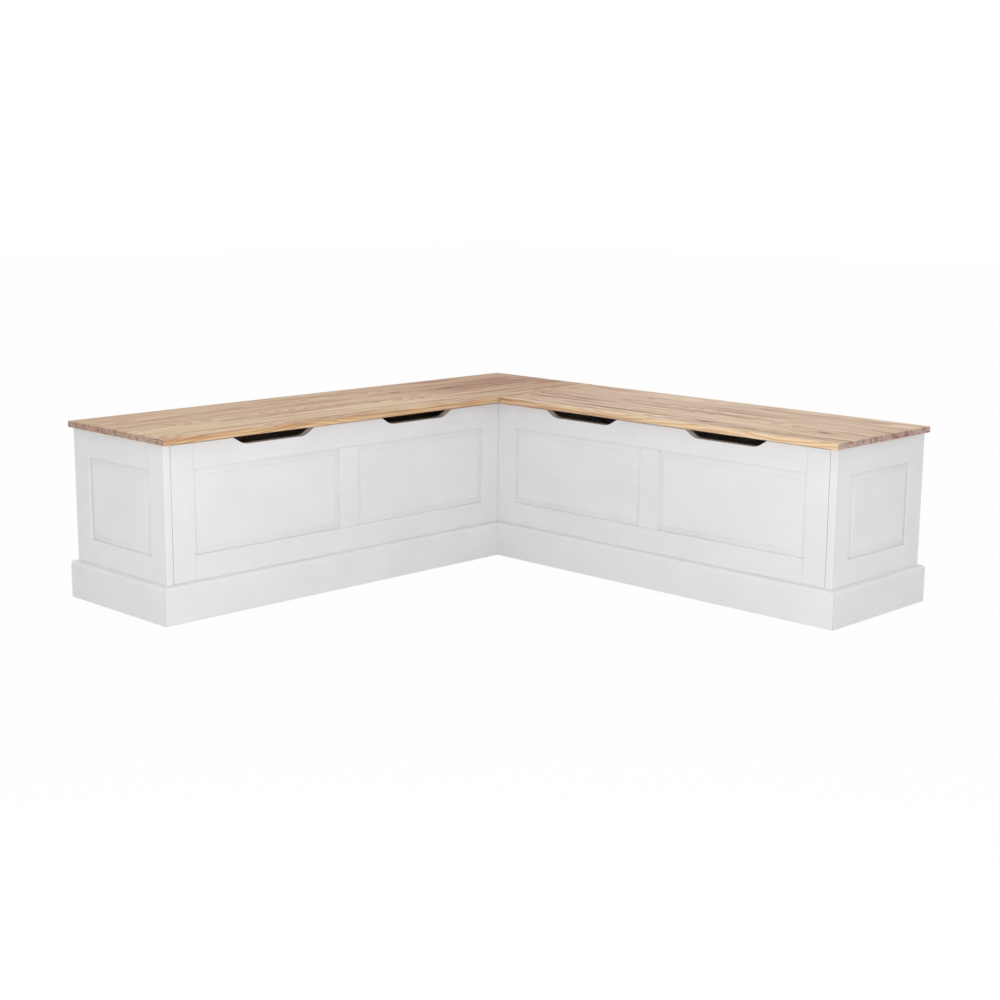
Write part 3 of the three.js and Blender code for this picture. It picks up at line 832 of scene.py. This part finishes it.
for node_name, piece in nodes.items():
    kind, material = finish_of(node_name)
    piece.data.materials.clear()
    piece.data.materials.append(material)
    soften(piece, SANDED_EDGE_MM[kind])
print("Dressed", len(nodes), "pieces")

# %% [markdown]
# ## Painted shade in a screw's recess
# A real cross recess is 2 mm deep and looks dark. The heads below are thin discs whose recess has no
# depth to go dark in, so its shade is painted on its floor as a darker and rougher steel.

# %% Darken the recess
# This colour is painted shade, standing in for the depth that the recess lacks.
RECESS_PAINTED_SHADE = "#3b3c3f"
RECESS_ROUGHNESS = (0.45, 0.7)


def recess_painted_shade():
    material, tree = new_material("shaded_zinc_plated_steel_recess")
    grit = add_node(tree, "TexNoise", {
        "Vector": stretched_coordinates(tree, "X", ZINC_STREAK_MM, ZINC_STREAK_MM), "Scale": 1,
    })
    smoothest, roughest = RECESS_ROUGHNESS
    sheen = add_node(tree, "MapRange", {"Value": grit, "To Min": smoothest, "To Max": roughest})
    surface = add_node(tree, "BsdfPrincipled", {
        "Base Color": srgb(RECESS_PAINTED_SHADE), "Metallic": 1, "Roughness": sheen,
    })
    add_node(tree, "OutputMaterial", {"Surface": surface})
    return material


painted_recess_shade = recess_painted_shade()
print("Recess:", painted_recess_shade.name)

# %% [markdown]
# ## One screw head
# A countersunk head sits flush, so each head here is a disc that stands a little over a tenth of a
# millimetre proud of its plate, less than half of the gap between the folded leaves. It has a
# chamfered rim, and the cross is cut into the flat. The head is built from four closed loops of edges,
# walls between them, and a fill between the rim and the mouth of the cross.

# %% Outline a screw head
HEAD_RADIUS_MM = 3.4
HEAD_RISE_MM = 0.14
HEAD_CHAMFER_MM = 0.25
HEAD_SIDES = 28
RECESS_REACH_MM = 1.9
RECESS_HALF_WIDTH_MM = 0.55
RECESS_DEPTH_MM = 0.1


def circle(radius):
    turns = [2 * math.pi * i / HEAD_SIDES for i in range(HEAD_SIDES)]
    return [(math.cos(turn) * radius, math.sin(turn) * radius) for turn in turns]


def cross():
    """One arm's three corners, turned by a quarter four times."""
    reach, half = RECESS_REACH_MM, RECESS_HALF_WIDTH_MM
    arm = [(reach, -half), (reach, half), (half, half)]
    quarters = ((1, 0), (0, 1), (-1, 0), (0, -1))
    return [(x * c - y * s, x * s + y * c) for c, s in quarters for x, y in arm]


print("A head is", 2 * HEAD_RADIUS_MM, "mm wide, and its cross has", len(cross()), "corners")

# %% Build a screw head


def loop_at(bm, points, height):
    """A closed loop of edges through flat points, in millimetres, at one height."""
    corners = [bm.verts.new((x, y, height)) for x, y in points]
    edges = [bm.edges.new((corners[i - 1], corners[i])) for i in range(len(corners))]
    return corners, edges


def wall_between(bm, lower, upper):
    for i in range(len(lower)):
        bm.faces.new((lower[i - 1], lower[i], upper[i], upper[i - 1]))


def screw_head(bm, centre_mm, turn, outward):
    """One head on a level plate. Outward is 1 for a plate that faces up and -1 for one that faces down."""
    head = bmesh.new()
    foot, _ = loop_at(head, circle(HEAD_RADIUS_MM), 0)
    rim, rim_edges = loop_at(head, circle(HEAD_RADIUS_MM - HEAD_CHAMFER_MM), HEAD_RISE_MM)
    mouth, mouth_edges = loop_at(head, cross(), HEAD_RISE_MM)
    bottom, _ = loop_at(head, cross(), HEAD_RISE_MM - RECESS_DEPTH_MM)
    wall_between(head, foot, rim)
    wall_between(head, mouth, bottom)
    # The recess floor takes the second material, its painted shade.
    head.faces.new(bottom).material_index = 1
    bmesh.ops.triangle_fill(head, edges=rim_edges + mouth_edges, use_beauty=True)
    bmesh.ops.recalc_face_normals(head, faces=head.faces)
    place = Matrix.Translation(Vector(centre_mm)) @ Matrix.Rotation(turn, 4, "Z")
    if outward < 0:
        place = place @ Matrix.Rotation(math.pi, 4, "X")
    head.transform(place)
    finished = bpy.data.meshes.new("head")
    head.to_mesh(finished)
    head.free()
    bm.from_mesh(finished)
    bpy.data.meshes.remove(finished)


print("A head stands", HEAD_RISE_MM, "mm proud")

# %% [markdown]
# ## Rows of screws
# Three screws hold each hinge leaf, and three hold each cleat. Only their heads show, and only with a
# lid open. A row is one mesh, and it rides on the body that its plate belongs to. Screws stop at any
# angle, so every cross is turned by a different amount.

# %% Set three screws in a row
LEAF_SCREW_LINE_MM = 8.5         # from a leaf's free edge, which is the low side of its box
FIRST_TURN = 0.4                 # radians, as is the step to the next screw
TURN_STEP = 1.1


def screws_on(node_name, body, height_mm, outward, margin_mm):
    """Three screws in line along a plate's longer side."""
    low, high = (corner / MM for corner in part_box(node_name))
    middle = (low + high) / 2
    long_side = 0 if high.x - low.x > high.y - low.y else 1
    bm = bmesh.new()
    for count, share in enumerate((-1, 0, 1)):
        centre = Vector((middle.x, middle.y, height_mm))
        centre[long_side] += share * ((high - low)[long_side] / 2 - margin_mm)
        if "leaf" in node_name:
            centre[1 - long_side] = low[1 - long_side] + LEAF_SCREW_LINE_MM
        screw_head(bm, centre, FIRST_TURN + TURN_STEP * count + centre.x, outward)
    mesh = bpy.data.meshes.new(f"{node_name}_screws")
    bm.to_mesh(mesh)
    bm.free()
    mesh.transform(Matrix.Scale(MM, 4))
    # The second material is the painted shade of the recess.
    for material in (zinc["X"], painted_recess_shade):
        mesh.materials.append(material)
    piece = bpy.data.objects.new(mesh.name, mesh)
    bpy.context.scene.collection.objects.link(piece)
    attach(piece, body)
    return piece


print("The screws of a leaf stand", LEAF_SCREW_LINE_MM, "mm from its free edge")

# %% [markdown]
# ## Which plates have screws
# A hinge's two leaves fold together round the pin, with a small gap between them. The middle of a
# leaf's box is the height of the pin, so each leaf's inner face is half that gap below or above it. A
# cleat is screwed to its lid from below.

# %% Fit the screws
LEAF_END_MARGIN_MM = 12
CLEAT_END_MARGIN_MM = 28
LEAF_SPLIT_MM = 0.4

screws = []
for node_name in sorted(nodes):
    low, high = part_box(node_name)
    lid_body = "long_lid" if node_name.startswith("long") else "short_lid"
    pin_mm = (low.z + high.z) / 2 / MM
    if node_name.endswith("fixed_leaf"):
        screws.append(screws_on(node_name, "carcass", pin_mm - LEAF_SPLIT_MM / 2, 1, LEAF_END_MARGIN_MM))
    if node_name.endswith("lid_leaf"):
        screws.append(screws_on(node_name, lid_body, pin_mm + LEAF_SPLIT_MM / 2, -1, LEAF_END_MARGIN_MM))
    if "cleat" in node_name:
        screws.append(screws_on(node_name, lid_body, low.z / MM, -1, CLEAT_END_MARGIN_MM))
print(len(screws), "rows of three screws")

# %% [markdown]
# ## Plain white to look at
# The bench stands in soft light on a white sweep, as in a catalogue picture. The background has to be
# plain white, and the light that falls on the bench can't be as even as that. A light path node says
# what kind of ray asks for a colour, so the dome and the floor can answer the camera in white and
# still light the bench in their own way.

# %% Tell the rays apart
WHITE_LIGHT = (1, 1, 1, 1)


def sees_plain_white(tree):
    """1 for rays from the camera, a mirror or clear glass, and 0 for the light that falls on things."""
    path = add_node(tree, "LightPath").outputs
    seen = add_node(tree, "Math", {
        0: path["Is Camera Ray"], 1: path["Is Glossy Ray"],
    }, operation="MAXIMUM")
    return add_node(tree, "Math", {0: seen, 1: path["Is Transmission Ray"]}, operation="MAXIMUM")


print("The background is", WHITE_LIGHT[:3])

# %% [markdown]
# ## A white dome
# The world is a white dome that is dimmer near the horizon and brighter overhead, so the upright faces
# stay a little darker than the level ones. Satin lacquer seen at a low angle throws back the light
# that comes from behind it. So the back of the dome has low bright screens on both sides, and a dark
# gap between them straight behind the corner, which keeps the wood there deep and brown.

# %% The dome and its gap
HORIZON_STRENGTH = 0.58
OVERHEAD_STRENGTH = 0.93
HORIZON_ENDS = 0.3               # sines of the heights between which one strength turns into the other
OVERHEAD_STARTS = 0.9
SCREEN_STRENGTH = 2
SCREEN_TOP = 0.3                 # sine of the height at which the screens end
GAP_HALF_WIDTH = 0.1             # sine of the angle to each side of straight back
GAP_SOFTNESS = 0.2               # the gap turns into screen over this share of it, inside and outside
UPWARDS = (0, 0, 1)
BACKWARDS = (0.7071, 0.7071, 0)  # from the camera over the corner
SIDEWAYS = (-0.7071, 0.7071, 0)


def dome_light(tree):
    """How bright the dome is in each direction."""
    direction = add_node(tree, "TexCoord").outputs["Generated"]
    height, backward, side = (
        add_node(tree, "VectorMath", {0: direction, 1: axis}, operation="DOT_PRODUCT")
        for axis in (UPWARDS, BACKWARDS, SIDEWAYS)
    )
    behind = add_node(tree, "Math", {0: backward, 1: 0}, operation="GREATER_THAN")
    low = add_node(tree, "Math", {0: height, 1: SCREEN_TOP}, operation="LESS_THAN")
    low_behind = add_node(tree, "Math", {0: behind, 1: low}, operation="MULTIPLY")
    from_middle = add_node(tree, "Math", {0: side}, operation="ABSOLUTE")
    screen = add_node(tree, "MapRange", {
        "Value": from_middle,
        "From Min": GAP_HALF_WIDTH * (1 - GAP_SOFTNESS), "From Max": GAP_HALF_WIDTH * (1 + GAP_SOFTNESS),
        "To Max": SCREEN_STRENGTH,
    }, interpolation_type="SMOOTHSTEP")
    sky = add_node(tree, "MapRange", {
        "Value": height, "From Min": HORIZON_ENDS, "From Max": OVERHEAD_STARTS,
        "To Min": HORIZON_STRENGTH, "To Max": OVERHEAD_STRENGTH,
    })
    return add_node(tree, "Mix", {"Factor": low_behind, "A": sky, "B": screen})


def make_dome():
    world = bpy.data.worlds.new("white_dome")
    world.use_nodes = True
    tree = world.node_tree
    tree.nodes.clear()
    strength = add_node(tree, "Mix", {"Factor": sees_plain_white(tree), "A": dome_light(tree), "B": 1})
    dome = add_node(tree, "Background", {"Color": WHITE_LIGHT, "Strength": strength})
    add_node(tree, "OutputWorld", {"Surface": dome})
    bpy.context.scene.world = world


make_dome()
print("Dome from", HORIZON_STRENGTH, "to", OVERHEAD_STRENGTH, "with screens at", SCREEN_STRENGTH)

# %% [markdown]
# ## The floor
# The floor is a real matt surface. It takes the bench's shadow and throws light back up at the fronts.
# In a catalogue picture it is almost burnt out, so what the camera sees of it is nearly all plain
# white, and only a trace of the shadow is left.

# %% Lay the floor
FLOOR_SIZE_M = 30
FLOOR_DROP_MM = 0.5              # just below the bench, so that no two faces lie in one plane
FLOOR_WHITE = "#dedede"
FLOOR_LIFT = 0.97                # the share of plain white in what the camera sees


def matt_sweep():
    material, tree = new_material("matt_white_sweep")
    matt = add_node(tree, "BsdfDiffuse", {"Color": srgb(FLOOR_WHITE)})
    plain = add_node(tree, "Emission", {"Color": WHITE_LIGHT, "Strength": 1})
    lift = add_node(tree, "Math", {0: sees_plain_white(tree), 1: FLOOR_LIFT}, operation="MULTIPLY")
    mix = add_node(tree, "MixShader", {0: lift, 1: matt, 2: plain})
    add_node(tree, "OutputMaterial", {"Surface": mix})
    return material


def make_floor():
    mesh = bpy.data.meshes.new("floor")
    half = FLOOR_SIZE_M / 2
    height = -FLOOR_DROP_MM * MM
    corners = [(-half, -half, height), (half, -half, height), (half, half, height), (-half, half, height)]
    mesh.from_pydata(corners, [], [(0, 1, 2, 3)])
    floor = bpy.data.objects.new("floor", mesh)
    bpy.context.scene.collection.objects.link(floor)
    mesh.materials.append(matt_sweep())


make_floor()
print("Floor", FLOOR_SIZE_M, "m wide")

# %% [markdown]
# ## The softboxes
# Under the dome alone both fronts would be equally bright from end to end. Two wide, low softboxes
# stand in front of the chests, one to each side of the camera, and the fronts fade by a few levels
# towards the inner corner. The L's outline is its own mirror image, with x and y changing places, so
# the right softbox is the left one mirrored.

# %% Set up the softboxes
SOFTBOX_WATTS = 14.2
SOFTBOX_WIDTH_M = 1.6
SOFTBOX_HEIGHT_M = 0.5
SOFTBOX_PLACE_M = (-2.3, -1.3, 0.4)
SOFTBOX_TARGET_M = (-0.7, 0.4, 0.25)


def mirrored(point):
    x, y, z = point
    return (y, x, z)


def make_softbox(name, place, target):
    light = bpy.data.lights.new(name, "AREA")
    light.shape = "RECTANGLE"
    light.size = SOFTBOX_WIDTH_M
    light.size_y = SOFTBOX_HEIGHT_M
    light.energy = SOFTBOX_WATTS
    lamp = bpy.data.objects.new(name, light)
    lamp.location = place
    lamp.rotation_euler = (Vector(target) - Vector(place)).to_track_quat("-Z", "Y").to_euler()
    lamp.visible_camera = False
    bpy.context.scene.collection.objects.link(lamp)


make_softbox("left_softbox", SOFTBOX_PLACE_M, SOFTBOX_TARGET_M)
make_softbox("right_softbox", mirrored(SOFTBOX_PLACE_M), mirrored(SOFTBOX_TARGET_M))
scene = bpy.context.scene

# %% [markdown]
# ## The picture's tones
# The colours above were matched to the photograph as they stand, so the picture is shown with them
# unchanged, without a film-like curve.

# %% Show colours as they are
scene.view_settings.view_transform = "Standard"
print("View:", scene.view_settings.view_transform)

# %% [markdown]
# ## Close
# A last update of the view layer puts every piece in its final place.

# %% Update the scene
bpy.context.view_layer.update()
